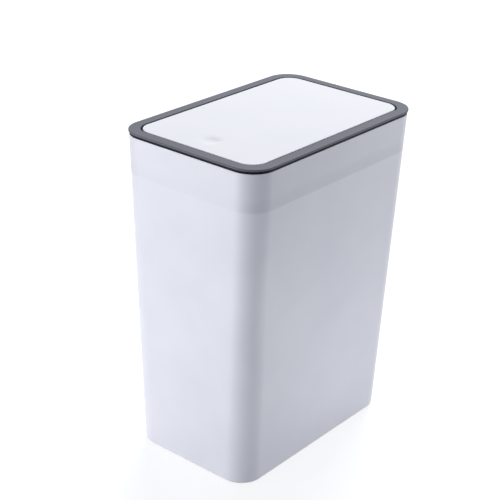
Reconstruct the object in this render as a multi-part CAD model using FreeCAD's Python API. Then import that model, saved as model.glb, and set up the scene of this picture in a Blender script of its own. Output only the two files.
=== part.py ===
import FreeCAD, Part
import math
import os

# Slim push-to-open waste bin: tapered bucket, bag ring, lid frame, hinged lid and push latch.
# Millimetres. X runs across the short side, Y towards the hinge, Z up.
# The origin is on the floor under the middle of the bucket, and the lid is shut.

# Whole bin
BIN_WIDTH = 200.0
BIN_DEPTH = 300.0
BIN_HEIGHT = 400.0
CUT_OVERRUN = 6.0  # how far a cutting solid runs past the face that it opens
LEVEL_TOLERANCE = 0.001  # edges this near to a height lie on it

# Bucket
RIM_INSET = 1.0  # the lid frame stands this far past the bucket's rim
FOOT_WIDTH = 173.0
FOOT_DEPTH = 275.0
BUCKET_CORNER = 29.0
BUCKET_WALL = 2.2
BUCKET_FLOOR = 2.6
FLOOR_ROUND = 6.0  # inner radius between floor and walls
FOOT_RISE = 1.6  # hollow under the floor
FOOT_BAND = 11.0  # width of the band that stands on the ground
FOOT_ROUND = 3.0
RIM_ROUND = 0.6

# Bag ring
RING_FLANGE = 3.2
RING_INSET = 0.4  # depth of the dark line between frame and bucket
RING_WALL = 1.6
RING_DEPTH = 45.0
RING_CLEARANCE = 0.6  # room for the bag between ring and bucket

# Lid frame
FRAME_PLATE = 2.2
FRAME_EDGE_ROUND = 0.7
FRAME_WALL = 1.8
FRAME_LIP = 1.2  # the plate's overhang over the lid well
FRAME_FIT = 0.5  # play of the frame in the ring
FRAME_SIDE_LAND = 2.6
FRAME_END_LAND = 2.2
LOCATING_RIB_WALL = 1.4
LOCATING_RIB_DEPTH = 6.0
WELL_DEPTH = 20.0
LEDGE_THICKNESS = 2.0
LEDGE_WIDTH = 6.0
FRONT_SHELF = 28.0
MOUTH_CORNER = 8.0

# Lid
LID_GAP = 2.4
LID_CORNER = 20.0
LID_PANEL = 2.4
LID_SKIRT_DEPTH = 7.0
LID_SKIRT_WALL = 2.0
LID_EDGE_ROUND = 1.0
DIMPLE_RADIUS = 15.0
DIMPLE_DEPTH = 2.6
DIMPLE_SETBACK = 31.0  # from the lid's front edge to the middle of the dimple
DIMPLE_BACKING = 0.8  # extra wall under the dimple
COVER_THICKNESS = 1.6
COVER_DROP = 1.4  # from the panel's underside to the inner cover
COVER_FIT = 0.3
COVER_SETBACK = 12.0  # from the hinge axis forward to the cover's edge
COVER_SCREW_INSET = 14.0

# Hinge
HINGE_SETBACK = 27.0  # from the lid's rear edge to the rod's axis
HINGE_DROP = 7.0  # from the lid's top to the rod's axis
ROD_RADIUS = 2.0
ROD_PLAY = 0.05
ROD_END_PLAY = 0.4
BOSS_WALL = 1.8
BOSS_CLEARANCE = 0.5  # between the lid's side and the rod boss
BLIND_WEB = 0.6  # what closes the blind end of the left boss
NOTCH_CLEARANCE = 0.6
KNUCKLE_WALL = 1.8
KNUCKLE_WIDTH = 6.0
KNUCKLE_INSET = 25.0  # from the lid's side to the middle of the outer knuckles
TAB_LENGTH = 13.0
TAB_SETBACK = 3.0  # from the hinge axis forward to the spring tabs and the ledge's end
TAB_MARGIN = 8.0

# Torsion springs
TORSION_WIRE = 1.2
TORSION_PITCH = 1.8
TORSION_TURNS = 5
UPPER_LEG = 9.0
LOWER_LEG_SLOPE = 40.0  # degrees below the horizontal
SPRING_SEAT = 0.3

# Push latch
LATCH_SETBACK = 12.0  # from the lid's front edge to the latch's axis
HOUSING_WIDTH = 24.0
HOUSING_DEPTH = 18.0
HOUSING_HEIGHT = 32.0
HOUSING_WALL = 1.6
HOUSING_CORNER = 1.5
EAR_LENGTH = 9.0
EAR_WIDTH = 10.0
EAR_THICKNESS = 3.0
CAP_THICKNESS = 1.6
CAP_PLUG = 1.5
CAP_FIT = 0.1
SLIDER_CLEARANCE = 0.4
SLIDER_HEIGHT = 8.0
SLIDER_CORNER = 1.0
SPRING_ROOM = 10.0  # from the cap up to the slider
SPIGOT_RADIUS = 2.3
SPIGOT_HEIGHT = 3.0
LATCH_WIRE = 0.8
LATCH_COIL_RADIUS = 3.2
LATCH_COIL_TURNS = 4
COIL_SEAT = 0.1
CLAW_RISE = 2.0  # how far the claws stand above the shelf
CLAW_THICKNESS = 2.6
CLAW_DEPTH = 8.0
HOOK_HEIGHT = 3.2
HOOK_REACH = 0.9
HOOK_CLEARANCE = 0.35
SLOT_CLEARANCE = 0.8
CAM_WIRE = 1.0
CAM_WIRE_RISE = 15.0
CAM_WIRE_TIP = 1.6
CAM_WIRE_BEND = 1.0
CAM_GROOVE_WIDTH = 2.4
CAM_GROOVE_DEPTH = 2.6
CAM_WIRE_INSET = 0.2  # from the slider's front face to the wire

# Striker
STRIKER_FLANGE = 2.0
STRIKER_LENGTH = 26.0
STRIKER_DEPTH = 12.0
STRIKER_CORNER = 2.0
STRIKER_SCREW_INSET = 4.0
STEM_WIDTH = 3.2
STEM_DEPTH = 7.0
HEAD_WIDTH = 4.6
HEAD_HEIGHT = 4.0
HEAD_TIP_WIDTH = 1.6
GRIP_PLAY = 0.4

# Screws
SCREW_RADIUS = 1.25
SCREW_HEAD_RADIUS = 2.6
SCREW_HEAD = 1.5
SCREW_FIT = 0.05
SCREW_PASS = 0.25
SCREW_BITE = 1.0
SCREW_TIP_ROOM = 0.2
SCREW_CROSS_WIDTH = 0.7
SCREW_CROSS_LENGTH = 3.0
SCREW_CROSS_DEPTH = 0.8
SCREW_BOSS_WALL = 2.1
LATCH_BOSS_HEIGHT = 6.0

# Levels
frame_under = BIN_HEIGHT - FRAME_PLATE
rim_level = frame_under - RING_FLANGE
shelf_top = BIN_HEIGHT - WELL_DEPTH
shelf_under = shelf_top - LEDGE_THICKNESS
panel_under = BIN_HEIGHT - LID_PANEL
skirt_bottom = BIN_HEIGHT - LID_SKIRT_DEPTH
cover_top = panel_under - COVER_DROP
cover_under = cover_top - COVER_THICKNESS
striker_under = cover_under - STRIKER_FLANGE
housing_bottom = shelf_under - HOUSING_HEIGHT
cap_top = housing_bottom + CAP_PLUG
slider_bottom = cap_top + SPRING_ROOM
slider_top = slider_bottom + SLIDER_HEIGHT
claw_top = shelf_top + CLAW_RISE
hook_under = claw_top - HOOK_HEIGHT
head_top = hook_under - GRIP_PLAY
hinge_z = BIN_HEIGHT - HINGE_DROP


def bucket_size(level, inset):
    """Half width, half depth and corner radius of the tapered wall at a level, moved in by inset."""
    rise_share = level / rim_level
    half_x = FOOT_WIDTH / 2 + (BIN_WIDTH / 2 - RIM_INSET - FOOT_WIDTH / 2) * rise_share
    half_y = FOOT_DEPTH / 2 + (BIN_DEPTH / 2 - RIM_INSET - FOOT_DEPTH / 2) * rise_share
    return half_x - inset, half_y - inset, BUCKET_CORNER - inset


def grown(size, amount):
    """An outline's half width, half depth and corner radius, all moved out by an amount."""
    return tuple(value + amount for value in size)


# Outlines that nest in each other, each as half width, half depth and corner radius
collar_inset = BUCKET_WALL + RING_CLEARANCE
ring_inset = collar_inset + RING_WALL
frame_outline = (BIN_WIDTH / 2, BIN_DEPTH / 2, BUCKET_CORNER + RIM_INSET)
rib_outline = grown(bucket_size(frame_under - LOCATING_RIB_DEPTH, ring_inset), -FRAME_FIT)
ring_half_x, ring_half_y = bucket_size(shelf_under, ring_inset + FRAME_FIT)[:2]
frame_reach = FRAME_WALL + FRAME_LIP + LID_GAP
lid_half_x = ring_half_x - FRAME_SIDE_LAND - frame_reach
lid_half_y = ring_half_y - FRAME_END_LAND - frame_reach
lid_outline = (lid_half_x, lid_half_y, LID_CORNER)
opening_outline = grown(lid_outline, LID_GAP)
well_outline = grown(opening_outline, FRAME_LIP)
wall_outline = grown(well_outline, FRAME_WALL)
well_half_x, well_half_y = well_outline[:2]
wall_half_x = well_half_x + FRAME_WALL
skirt_inner = grown(lid_outline, -LID_SKIRT_WALL)

# Places
hinge_y = lid_half_y - HINGE_SETBACK
latch_y = LATCH_SETBACK - lid_half_y
dimple_y = DIMPLE_SETBACK - lid_half_y
ledge_end = hinge_y - TAB_SETBACK
cover_end = hinge_y - COVER_SETBACK
screw_hole = SCREW_RADIUS + SCREW_FIT
screw_pass_hole = SCREW_RADIUS + SCREW_PASS
screw_boss = SCREW_RADIUS + SCREW_BOSS_WALL
knuckle_radius = ROD_RADIUS + KNUCKLE_WALL
knuckle_x = lid_half_x - KNUCKLE_INSET
rod_bore = ROD_RADIUS + ROD_PLAY
head_half = HEAD_WIDTH / 2
hook_half = head_half + HOOK_CLEARANCE
pocket_half = hook_half + HOOK_REACH
claw_half = pocket_half + CLAW_THICKNESS
slider_half_x = HOUSING_WIDTH / 2 - HOUSING_WALL - SLIDER_CLEARANCE
slider_half_y = HOUSING_DEPTH / 2 - HOUSING_WALL - SLIDER_CLEARANCE
cam_wire_y = latch_y - slider_half_y + CAM_WIRE_INSET + CAM_WIRE / 2
ear_x = (HOUSING_WIDTH + EAR_LENGTH) / 2
striker_screw_x = STRIKER_LENGTH / 2 - STRIKER_SCREW_INSET
cover_screw_x = lid_half_x - COVER_SCREW_INSET
cover_screw_front = 2 * COVER_SCREW_INSET - lid_half_y
cover_screw_rear = cover_end - COVER_SCREW_INSET
latch_screws_at = [(-ear_x, latch_y), (ear_x, latch_y)]
striker_screws_at = [(-striker_screw_x, latch_y), (striker_screw_x, latch_y)]
cover_screws_at = [(x, y) for x in (-cover_screw_x, cover_screw_x)
                   for y in (cover_screw_front, cover_screw_rear)]


def vector(x, y, z):
    """A point or direction."""
    return FreeCAD.Vector(x, y, z)


def outline(size, level, middle_y=0):
    """Closed wire of a rounded rectangle at a level, from straight sides and quarter arcs."""
    half_x, half_y, corner = size
    flat_x = half_x - corner
    flat_y = half_y - corner
    diagonal = corner * math.sqrt(2) / 2
    edges = []
    for turn_x, turn_y in ((1, 1), (-1, 1), (-1, -1), (1, -1)):
        on_side = vector(turn_x * half_x, middle_y + turn_y * flat_y, level)
        on_bend = vector(turn_x * (flat_x + diagonal), middle_y + turn_y * (flat_y + diagonal), level)
        on_end = vector(turn_x * flat_x, middle_y + turn_y * half_y, level)
        along = [on_side, on_bend, on_end]
        if turn_x * turn_y < 0:
            along.reverse()
        edges.append(Part.Arc(*along).toShape())
    corners = list(edges)
    for first, second in zip(corners, corners[1:] + corners[:1]):
        edges.append(Part.makeLine(first.Vertexes[-1].Point, second.Vertexes[0].Point))
    return Part.Wire(Part.__sortEdges__(edges))


def slab(size, low, high, middle_y=0):
    """Upright block with a rounded rectangle as its plan."""
    return Part.Face(outline(size, low, middle_y)).extrude(vector(0, 0, high - low))


def tapered(low, high, inset):
    """Solid that follows the bucket's taper between two levels, moved in by inset."""
    wires = [outline(bucket_size(level, inset), level) for level in (low, high)]
    return Part.makeLoft(wires, True, True)


def block(x_low, x_high, y_low, y_high, z_low, z_high):
    """Square block between two corners."""
    size = vector(x_high - x_low, y_high - y_low, z_high - z_low)
    return Part.makeBox(size.x, size.y, size.z, vector(x_low, y_low, z_low))


def post(radius, place, low, high):
    """Upright cylinder at an X, Y place."""
    return Part.makeCylinder(radius, high - low, vector(place[0], place[1], low))


def bar(radius, x_low, x_high):
    """Cylinder on the hinge axis."""
    start = vector(x_low, hinge_y, hinge_z)
    return Part.makeCylinder(radius, x_high - x_low, start, vector(1, 0, 0))


def rounded(shape, level, radius):
    """The shape with its edges at a level rounded."""
    edges = [edge for edge in shape.Edges
             if all(abs(corner.Z - level) < LEVEL_TOLERANCE for corner in edge.Vertexes)]
    return shape.makeFillet(radius, edges)


def joined(first, *others):
    """One solid from touching shapes."""
    return first.fuse(list(others)).removeSplitter()


def biarc(start, start_way, end, end_way):
    """Two arcs that leave start and reach end along the given unit directions."""
    chord = end - start
    ways = start_way + end_way
    spread = 2 * (1 - start_way.dot(end_way))
    lean = chord.dot(ways)
    reach = (math.sqrt(lean * lean + spread * chord.dot(chord)) - lean) / spread
    near = start + start_way * reach
    far = end - end_way * reach
    meet = (near + far) / 2
    arcs = []
    for first, bend, last in ((start, near, meet), (meet, far, end)):
        middle = (first + last) / 2
        half_turn = math.atan2((bend - middle).Length, (last - first).Length / 2)
        bow_share = math.cos(half_turn) / (1 + math.cos(half_turn))
        arcs.append(Part.Arc(first, middle + (bend - middle) * bow_share, last).toShape())
    return arcs


class Helix:
    """A winding about an axis, with its angle counted from one side direction to another."""

    def __init__(self, centre, axis, side, rise, radius, pitch):
        self.centre = centre
        self.axis = axis
        self.side = side
        self.rise = rise
        self.radius = radius
        self.pitch = pitch

    def point(self, angle):
        """Point of the wire's middle line at an angle in radians."""
        along = self.axis * (self.pitch * angle / (2 * math.pi))
        out = self.side * math.cos(angle) + self.rise * math.sin(angle)
        return self.centre + along + out * self.radius

    def way(self, angle):
        """Unit direction of the wire at an angle in radians."""
        along = self.axis * (self.pitch / (2 * math.pi))
        round_axis = self.rise * math.cos(angle) - self.side * math.sin(angle)
        return (along + round_axis * self.radius).normalize()

    def arcs(self, first, last):
        """Biarcs of about a quarter turn from the first angle to the last."""
        count = math.ceil((last - first) / (math.pi / 2))
        angles = [first + (last - first) * step / count for step in range(count + 1)]
        edges = []
        for low, high in zip(angles, angles[1:]):
            edges += biarc(self.point(low), self.way(low), self.point(high), self.way(high))
        return edges


def wire_tube(edges, diameter, start, way):
    """Round wire along joined edges."""
    section = Part.Wire(Part.makeCircle(diameter / 2, start, way))
    return Part.Wire(edges).makePipeShell([section], True, False)


def report_gap(name, winding, first, last, diameter):
    """Print the least gap between a winding's neighbouring turns, measured on points."""
    steps_a_turn = 48
    step = 2 * math.pi / steps_a_turn
    points = [winding.point(first + step * index) for index in range(int((last - first) / step))]
    gaps = [(points[high] - points[low]).Length - diameter for low in range(len(points))
            for high in range(low + steps_a_turn // 2, len(points))]
    print(f"{name}: least gap between turns {min(gaps):.2f} mm")


def screw(place, seat, shank):
    """Pan-head screw that points up, with its head under the seat and a cross in the head."""
    x, y = place
    head_under = seat - SCREW_HEAD
    body = joined(post(SCREW_HEAD_RADIUS, place, head_under, seat),
                  post(SCREW_RADIUS, place, seat, seat + shank))
    cross_top = head_under + SCREW_CROSS_DEPTH
    long_half = SCREW_CROSS_LENGTH / 2
    thin_half = SCREW_CROSS_WIDTH / 2
    for half_x, half_y in ((long_half, thin_half), (thin_half, long_half)):
        low = head_under - CUT_OVERRUN
        body = body.cut(block(x - half_x, x + half_x, y - half_y, y + half_y, low, cross_top))
    return body


def screws(places, seat, shank):
    """Group of like screws."""
    return Part.makeCompound([screw(place, seat, shank) for place in places])


def drilled(shape, radius, places, low, high):
    """The shape with an upright hole at each place."""
    for place in places:
        shape = shape.cut(post(radius, place, low, high))
    return shape


def bucket():
    """Tapered shell with a raised floor on a standing band."""
    shell = rounded(tapered(0, rim_level, 0), 0, FOOT_ROUND)
    shell = rounded(shell, rim_level, RIM_ROUND)
    floor_top = FOOT_RISE + BUCKET_FLOOR
    cavity = rounded(tapered(floor_top, rim_level + CUT_OVERRUN, BUCKET_WALL), floor_top, FLOOR_ROUND)
    recess = slab(bucket_size(0, FOOT_BAND), -CUT_OVERRUN, FOOT_RISE)
    return shell.cut(cavity).cut(recess)


def bag_ring():
    """Flanged collar that hangs in the bucket and clamps the bag against its wall."""
    low = rim_level - RING_DEPTH
    collar = tapered(low, rim_level, collar_inset)
    flange = slab(bucket_size(rim_level, RING_INSET), rim_level, frame_under)
    bore = tapered(low - CUT_OVERRUN, frame_under + CUT_OVERRUN, ring_inset)
    return joined(collar, flange).cut(bore)


def frame_ledge_cut():
    """What is open between the front shelf and side ledges, and behind the ledges' ends."""
    low = shelf_under - CUT_OVERRUN
    high = shelf_top + CUT_OVERRUN
    front = FRONT_SHELF - well_half_y
    mouth_half_y = (well_half_y - front) / 2
    mouth_size = (well_half_x - LEDGE_WIDTH, mouth_half_y, MOUTH_CORNER)
    mouth = slab(mouth_size, low, high, front + mouth_half_y)
    rear = slab(well_outline, low, high)
    keep = block(-well_half_x, well_half_x, -well_half_y, ledge_end, low, high)
    return joined(mouth, rear.cut(keep))


def lid_frame():
    """Ring plate with the lid well, latch shelf, spring tabs and rod bosses."""
    plate = rounded(slab(frame_outline, frame_under, BIN_HEIGHT), BIN_HEIGHT, FRAME_EDGE_ROUND)
    wall = slab(wall_outline, shelf_under, frame_under)
    rib_low = frame_under - LOCATING_RIB_DEPTH
    rib = slab(rib_outline, rib_low, frame_under)
    rib = rib.cut(slab(grown(rib_outline, -LOCATING_RIB_WALL), rib_low, frame_under))
    frame = joined(plate, wall, rib)
    frame = frame.cut(slab(well_outline, shelf_top, frame_under))
    frame = frame.cut(slab(opening_outline, shelf_top, BIN_HEIGHT + CUT_OVERRUN))
    frame = frame.cut(frame_ledge_cut())

    boss_start = lid_half_x + BOSS_CLEARANCE
    boss_radius = ROD_RADIUS + BOSS_WALL
    spring_x = torsion_outer_x() - TAB_MARGIN
    for side in (-1, 1):
        inner, outer = sorted((side * boss_start, side * wall_half_x))
        tab_low, tab_high = sorted((side * spring_x, side * wall_half_x))
        tab = block(tab_low, tab_high, ledge_end - TAB_LENGTH, ledge_end, shelf_under, shelf_top)
        frame = joined(frame, bar(boss_radius, inner, outer), tab)
    frame = frame.cut(bar(rod_bore, BLIND_WEB - wall_half_x, CUT_OVERRUN + wall_half_x))

    slot_half_x = claw_half + SLOT_CLEARANCE
    slot_half_y = CLAW_DEPTH / 2 + SLOT_CLEARANCE
    frame = frame.cut(block(-slot_half_x, slot_half_x, latch_y - slot_half_y, latch_y + slot_half_y,
                            shelf_under - CUT_OVERRUN, shelf_top + CUT_OVERRUN))
    boss_top = shelf_top + LATCH_BOSS_HEIGHT
    frame = joined(frame, *[post(screw_boss, place, shelf_top, boss_top) for place in latch_screws_at])
    return drilled(frame, screw_hole, latch_screws_at, shelf_under - CUT_OVERRUN, boss_top - SCREW_BITE)


def dimple_disc():
    """Disc whose top dips in two tangent arcs, one over the edge and one in the bowl."""
    bend = (DIMPLE_RADIUS ** 2 + DIMPLE_DEPTH ** 2) / (4 * DIMPLE_DEPTH)

    def bowl(radius):
        return BIN_HEIGHT - DIMPLE_DEPTH + bend - math.sqrt(bend ** 2 - radius ** 2)

    def brow(radius):
        return BIN_HEIGHT - bend + math.sqrt(bend ** 2 - (DIMPLE_RADIUS - radius) ** 2)

    def at(radius, level):
        return vector(radius, dimple_y, level)

    half = DIMPLE_RADIUS / 2
    low = panel_under - DIMPLE_BACKING
    quarter = half / 2
    edges = [Part.Arc(at(0, bowl(0)), at(quarter, bowl(quarter)), at(half, bowl(half))).toShape(),
             Part.Arc(at(half, bowl(half)), at(half + quarter, brow(half + quarter)),
                      at(DIMPLE_RADIUS, BIN_HEIGHT)).toShape(),
             Part.makeLine(at(DIMPLE_RADIUS, BIN_HEIGHT), at(DIMPLE_RADIUS, low)),
             Part.makeLine(at(DIMPLE_RADIUS, low), at(0, low)),
             Part.makeLine(at(0, low), at(0, bowl(0)))]
    profile = Part.Face(Part.Wire(edges))
    return profile.revolve(at(0, 0), vector(0, 0, 1), 360)


def lid_panel():
    """Outer lid with a turned-down skirt, press dimple, hinge knuckles and screw bosses."""
    lid = rounded(slab(lid_outline, skirt_bottom, BIN_HEIGHT), BIN_HEIGHT, LID_EDGE_ROUND)
    lid = lid.cut(slab(skirt_inner, skirt_bottom - CUT_OVERRUN, panel_under))
    lid = lid.cut(bar(ROD_RADIUS + NOTCH_CLEARANCE, -well_half_x, well_half_x))
    hole = post(DIMPLE_RADIUS, (0, dimple_y), panel_under - CUT_OVERRUN, BIN_HEIGHT + CUT_OVERRUN)
    lid = joined(lid.cut(hole), dimple_disc())
    for middle in (-knuckle_x, 0, knuckle_x):
        low = middle - KNUCKLE_WIDTH / 2
        high = middle + KNUCKLE_WIDTH / 2
        web = block(low, high, hinge_y - knuckle_radius, hinge_y + knuckle_radius, hinge_z, panel_under)
        lid = joined(lid, bar(knuckle_radius, low, high), web)
    lid = lid.cut(bar(rod_bore, -knuckle_x - KNUCKLE_WIDTH, knuckle_x + KNUCKLE_WIDTH))
    lid = joined(lid, *[post(screw_boss, place, cover_top, panel_under) for place in cover_screws_at])
    hole_top = panel_under + SCREW_BITE + SCREW_TIP_ROOM
    return drilled(lid, screw_hole, cover_screws_at, cover_top - CUT_OVERRUN, hole_top)


def lid_inner_cover():
    """Plate that closes the lid from below, ahead of the hinge."""
    low = cover_under - CUT_OVERRUN
    cover = slab(grown(skirt_inner, -COVER_FIT), cover_under, cover_top)
    cover = cover.cut(block(-well_half_x, well_half_x, cover_end, well_half_y, low, BIN_HEIGHT))
    boss_top = panel_under - SCREW_TIP_ROOM
    cover = joined(cover, *[post(screw_boss, place, cover_top, boss_top) for place in striker_screws_at])
    cover = drilled(cover, screw_pass_hole, cover_screws_at, low, BIN_HEIGHT)
    return drilled(cover, screw_hole, striker_screws_at, low, BIN_HEIGHT)


def striker():
    """Flanged stem with a barbed head that the latch's claws hold."""
    flange_size = (STRIKER_LENGTH / 2, STRIKER_DEPTH / 2, STRIKER_CORNER)
    flange = slab(flange_size, striker_under, cover_under, latch_y)
    stem_half = STEM_WIDTH / 2
    front = latch_y - STEM_DEPTH / 2
    rear = latch_y + STEM_DEPTH / 2
    stem = block(-stem_half, stem_half, front, rear, head_top, striker_under)
    tip_half = HEAD_TIP_WIDTH / 2
    shoulder = head_top - HEAD_HEIGHT / 2
    corners = [(-head_half, head_top), (head_half, head_top), (head_half, shoulder),
               (tip_half, head_top - HEAD_HEIGHT), (-tip_half, head_top - HEAD_HEIGHT),
               (-head_half, shoulder)]
    points = [vector(x, front, z) for x, z in corners]
    head = Part.Face(Part.makePolygon(points + points[:1])).extrude(vector(0, STEM_DEPTH, 0))
    whole = joined(flange, stem, head)
    return drilled(whole, screw_pass_hole, striker_screws_at, head_top, cover_under + CUT_OVERRUN)


def latch_housing():
    """Case of the latch, open at top and bottom, with two screw ears under the shelf."""
    size = (HOUSING_WIDTH / 2, HOUSING_DEPTH / 2, HOUSING_CORNER)
    case = slab(size, housing_bottom, shelf_under, latch_y)
    ear_half_x = HOUSING_WIDTH / 2 + EAR_LENGTH
    ear_size = (ear_half_x, EAR_WIDTH / 2, HOUSING_CORNER)
    case = joined(case, slab(ear_size, shelf_under - EAR_THICKNESS, shelf_under, latch_y))
    cavity = (slider_half_x + SLIDER_CLEARANCE, slider_half_y + SLIDER_CLEARANCE, SLIDER_CORNER)
    case = case.cut(slab(cavity, housing_bottom - CUT_OVERRUN, shelf_under + CUT_OVERRUN, latch_y))
    low = shelf_under - EAR_THICKNESS - CUT_OVERRUN
    return drilled(case, screw_pass_hole, latch_screws_at, low, shelf_under + CUT_OVERRUN)


def latch_cap():
    """Snap-in bottom of the latch with the spring's lower spigot and the cam wire's hole."""
    plate_size = (HOUSING_WIDTH / 2, HOUSING_DEPTH / 2, HOUSING_CORNER)
    plate = slab(plate_size, housing_bottom - CAP_THICKNESS, housing_bottom, latch_y)
    plug_size = grown((slider_half_x, slider_half_y, SLIDER_CORNER), SLIDER_CLEARANCE - CAP_FIT)
    plug = slab(plug_size, housing_bottom, cap_top, latch_y)
    spigot = post(SPIGOT_RADIUS, (0, latch_y), cap_top, cap_top + SPIGOT_HEIGHT)
    wire_hole = post(CAM_WIRE / 2 + SCREW_FIT, (0, cam_wire_y), housing_bottom, cap_top + CUT_OVERRUN)
    return joined(plate, plug, spigot).cut(wire_hole)


def claw_profile(side):
    """Points of one claw from the slider up to its hook."""
    return [(side * pocket_half, slider_top), (side * claw_half, slider_top),
            (side * claw_half, claw_top - HOOK_HEIGHT / 2), (side * pocket_half, claw_top),
            (side * hook_half, claw_top - HOOK_REACH), (side * hook_half, hook_under),
            (side * pocket_half, hook_under)]


def latch_slider():
    """Sliding block with two claws above, a spring spigot below and the cam groove in front."""
    slider = slab((slider_half_x, slider_half_y, SLIDER_CORNER), slider_bottom, slider_top, latch_y)
    for side in (-1, 1):
        points = [vector(x, latch_y - CLAW_DEPTH / 2, z) for x, z in claw_profile(side)]
        claw = Part.Face(Part.makePolygon(points + points[:1])).extrude(vector(0, CLAW_DEPTH, 0))
        slider = joined(slider, claw)
    spigot = post(SPIGOT_RADIUS, (0, latch_y), slider_bottom - SPIGOT_HEIGHT, slider_bottom)
    front = latch_y - slider_half_y
    groove_half = CAM_GROOVE_WIDTH / 2
    groove = block(-groove_half, groove_half, front - CUT_OVERRUN, front + CAM_GROOVE_DEPTH,
                   slider_bottom - CUT_OVERRUN, slider_top + CUT_OVERRUN)
    return joined(slider, spigot).cut(groove)


def latch_cam_wire():
    """Follower wire that stands in the cap and turns its tip into the slider's groove."""
    low = vector(0, cam_wire_y, housing_bottom)
    straight_end = low + vector(0, 0, CAM_WIRE_RISE)
    slant = CAM_WIRE_BEND * math.sqrt(2) / 2
    bend_middle = straight_end + vector(0, CAM_WIRE_BEND - slant, slant)
    bend_end = straight_end + vector(0, CAM_WIRE_BEND, CAM_WIRE_BEND)
    tip = straight_end + vector(0, CAM_WIRE_TIP - CAM_WIRE / 2, CAM_WIRE_BEND)
    edges = [Part.makeLine(low, straight_end),
             Part.Arc(straight_end, bend_middle, bend_end).toShape(),
             Part.makeLine(bend_end, tip)]
    return wire_tube(edges, CAM_WIRE, low, vector(0, 0, 1))


def latch_spring():
    """Compression spring between the cap and the slider."""
    first_z = cap_top + COIL_SEAT + LATCH_WIRE / 2
    last_z = slider_bottom - COIL_SEAT - LATCH_WIRE / 2
    winding = Helix(vector(0, latch_y, first_z), vector(0, 0, 1), vector(1, 0, 0), vector(0, 1, 0),
                    LATCH_COIL_RADIUS, (last_z - first_z) / LATCH_COIL_TURNS)
    last = 2 * math.pi * LATCH_COIL_TURNS
    report_gap("latch_spring", winding, 0, last, LATCH_WIRE)
    return wire_tube(winding.arcs(0, last), LATCH_WIRE, winding.point(0), winding.way(0))


def hinge_rod():
    """Steel rod across the frame, in a blind boss on the left and out to the rib on the right."""
    return bar(ROD_RADIUS, ROD_END_PLAY + BLIND_WEB - wall_half_x, rib_outline[0])


def torsion_angles():
    """First and last winding angle: the lower leg leaves at the back, the upper leg at the top."""
    first = math.radians(LOWER_LEG_SLOPE - 90)
    return first, math.pi / 2 + 2 * math.pi * TORSION_TURNS


def torsion_outer_x():
    """X of the right spring's outer end, with the winding midway between knuckle and skirt."""
    first, last = torsion_angles()
    bay_middle = (knuckle_x + KNUCKLE_WIDTH / 2 + lid_half_x - LID_SKIRT_WALL) / 2
    return bay_middle + TORSION_PITCH * (last - first) / (4 * math.pi)


def torsion_spring():
    """Right torsion spring, wound on the rod, with one leg on the tab and one under the lid."""
    first, last = torsion_angles()
    radius = HINGE_DROP - LID_PANEL - SPRING_SEAT - TORSION_WIRE / 2
    centre_x = torsion_outer_x() + TORSION_PITCH * first / (2 * math.pi)
    winding = Helix(vector(centre_x, hinge_y, hinge_z), vector(-1, 0, 0), vector(0, 1, 0),
                    vector(0, 0, 1), radius, TORSION_PITCH)
    start_way = winding.way(first)
    leg_drop = winding.point(first).z - shelf_top - SPRING_SEAT - TORSION_WIRE / 2
    foot = winding.point(first) - start_way * (leg_drop / start_way.z)
    upper_tip = winding.point(last) + winding.way(last) * UPPER_LEG
    edges = [Part.makeLine(foot, winding.point(first))]
    edges += winding.arcs(first, last)
    edges.append(Part.makeLine(winding.point(last), upper_tip))
    report_gap("torsion_spring", winding, first, last, TORSION_WIRE)
    return wire_tube(edges, TORSION_WIRE, foot, start_way)


def main():
    """Build every piece and write one file each."""
    right_spring = torsion_spring()
    latch_shank = EAR_THICKNESS + LEDGE_THICKNESS + LATCH_BOSS_HEIGHT - SCREW_BITE - SCREW_TIP_ROOM
    cover_shank = COVER_THICKNESS + COVER_DROP + SCREW_BITE
    striker_shank = STRIKER_FLANGE + COVER_THICKNESS + COVER_DROP - 2 * SCREW_TIP_ROOM
    pieces = {
        "bucket": bucket(),
        "bag_ring": bag_ring(),
        "lid_frame": lid_frame(),
        "hinge_rod": hinge_rod(),
        "torsion_spring_left": right_spring.mirror(vector(0, 0, 0), vector(1, 0, 0)),
        "torsion_spring_right": right_spring,
        "lid_panel": lid_panel(),
        "lid_inner_cover": lid_inner_cover(),
        "cover_screws": screws(cover_screws_at, cover_under, cover_shank),
        "striker": striker(),
        "striker_screws": screws(striker_screws_at, striker_under, striker_shank),
        "latch_housing": latch_housing(),
        "latch_cap": latch_cap(),
        "latch_screws": screws(latch_screws_at, shelf_under - EAR_THICKNESS, latch_shank),
        "latch_slider": latch_slider(),
        "latch_spring": latch_spring(),
        "latch_cam_wire": latch_cam_wire(),
    }
    os.makedirs("parts", exist_ok=True)
    for name, shape in pieces.items():
        shape.exportStep(f"parts/{name}.step")
        print(f"{name}: {len(shape.Solids)} solid, volume {shape.Volume:.0f} mm3, valid {shape.isValid()}")


main()
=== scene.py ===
"""Slim push-lid waste bin: moulded shells, wound springs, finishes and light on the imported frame."""

import logging
from dataclasses import dataclass, field
from enum import Enum

import bpy
import numpy as np
from mathutils import Matrix, Vector


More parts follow.
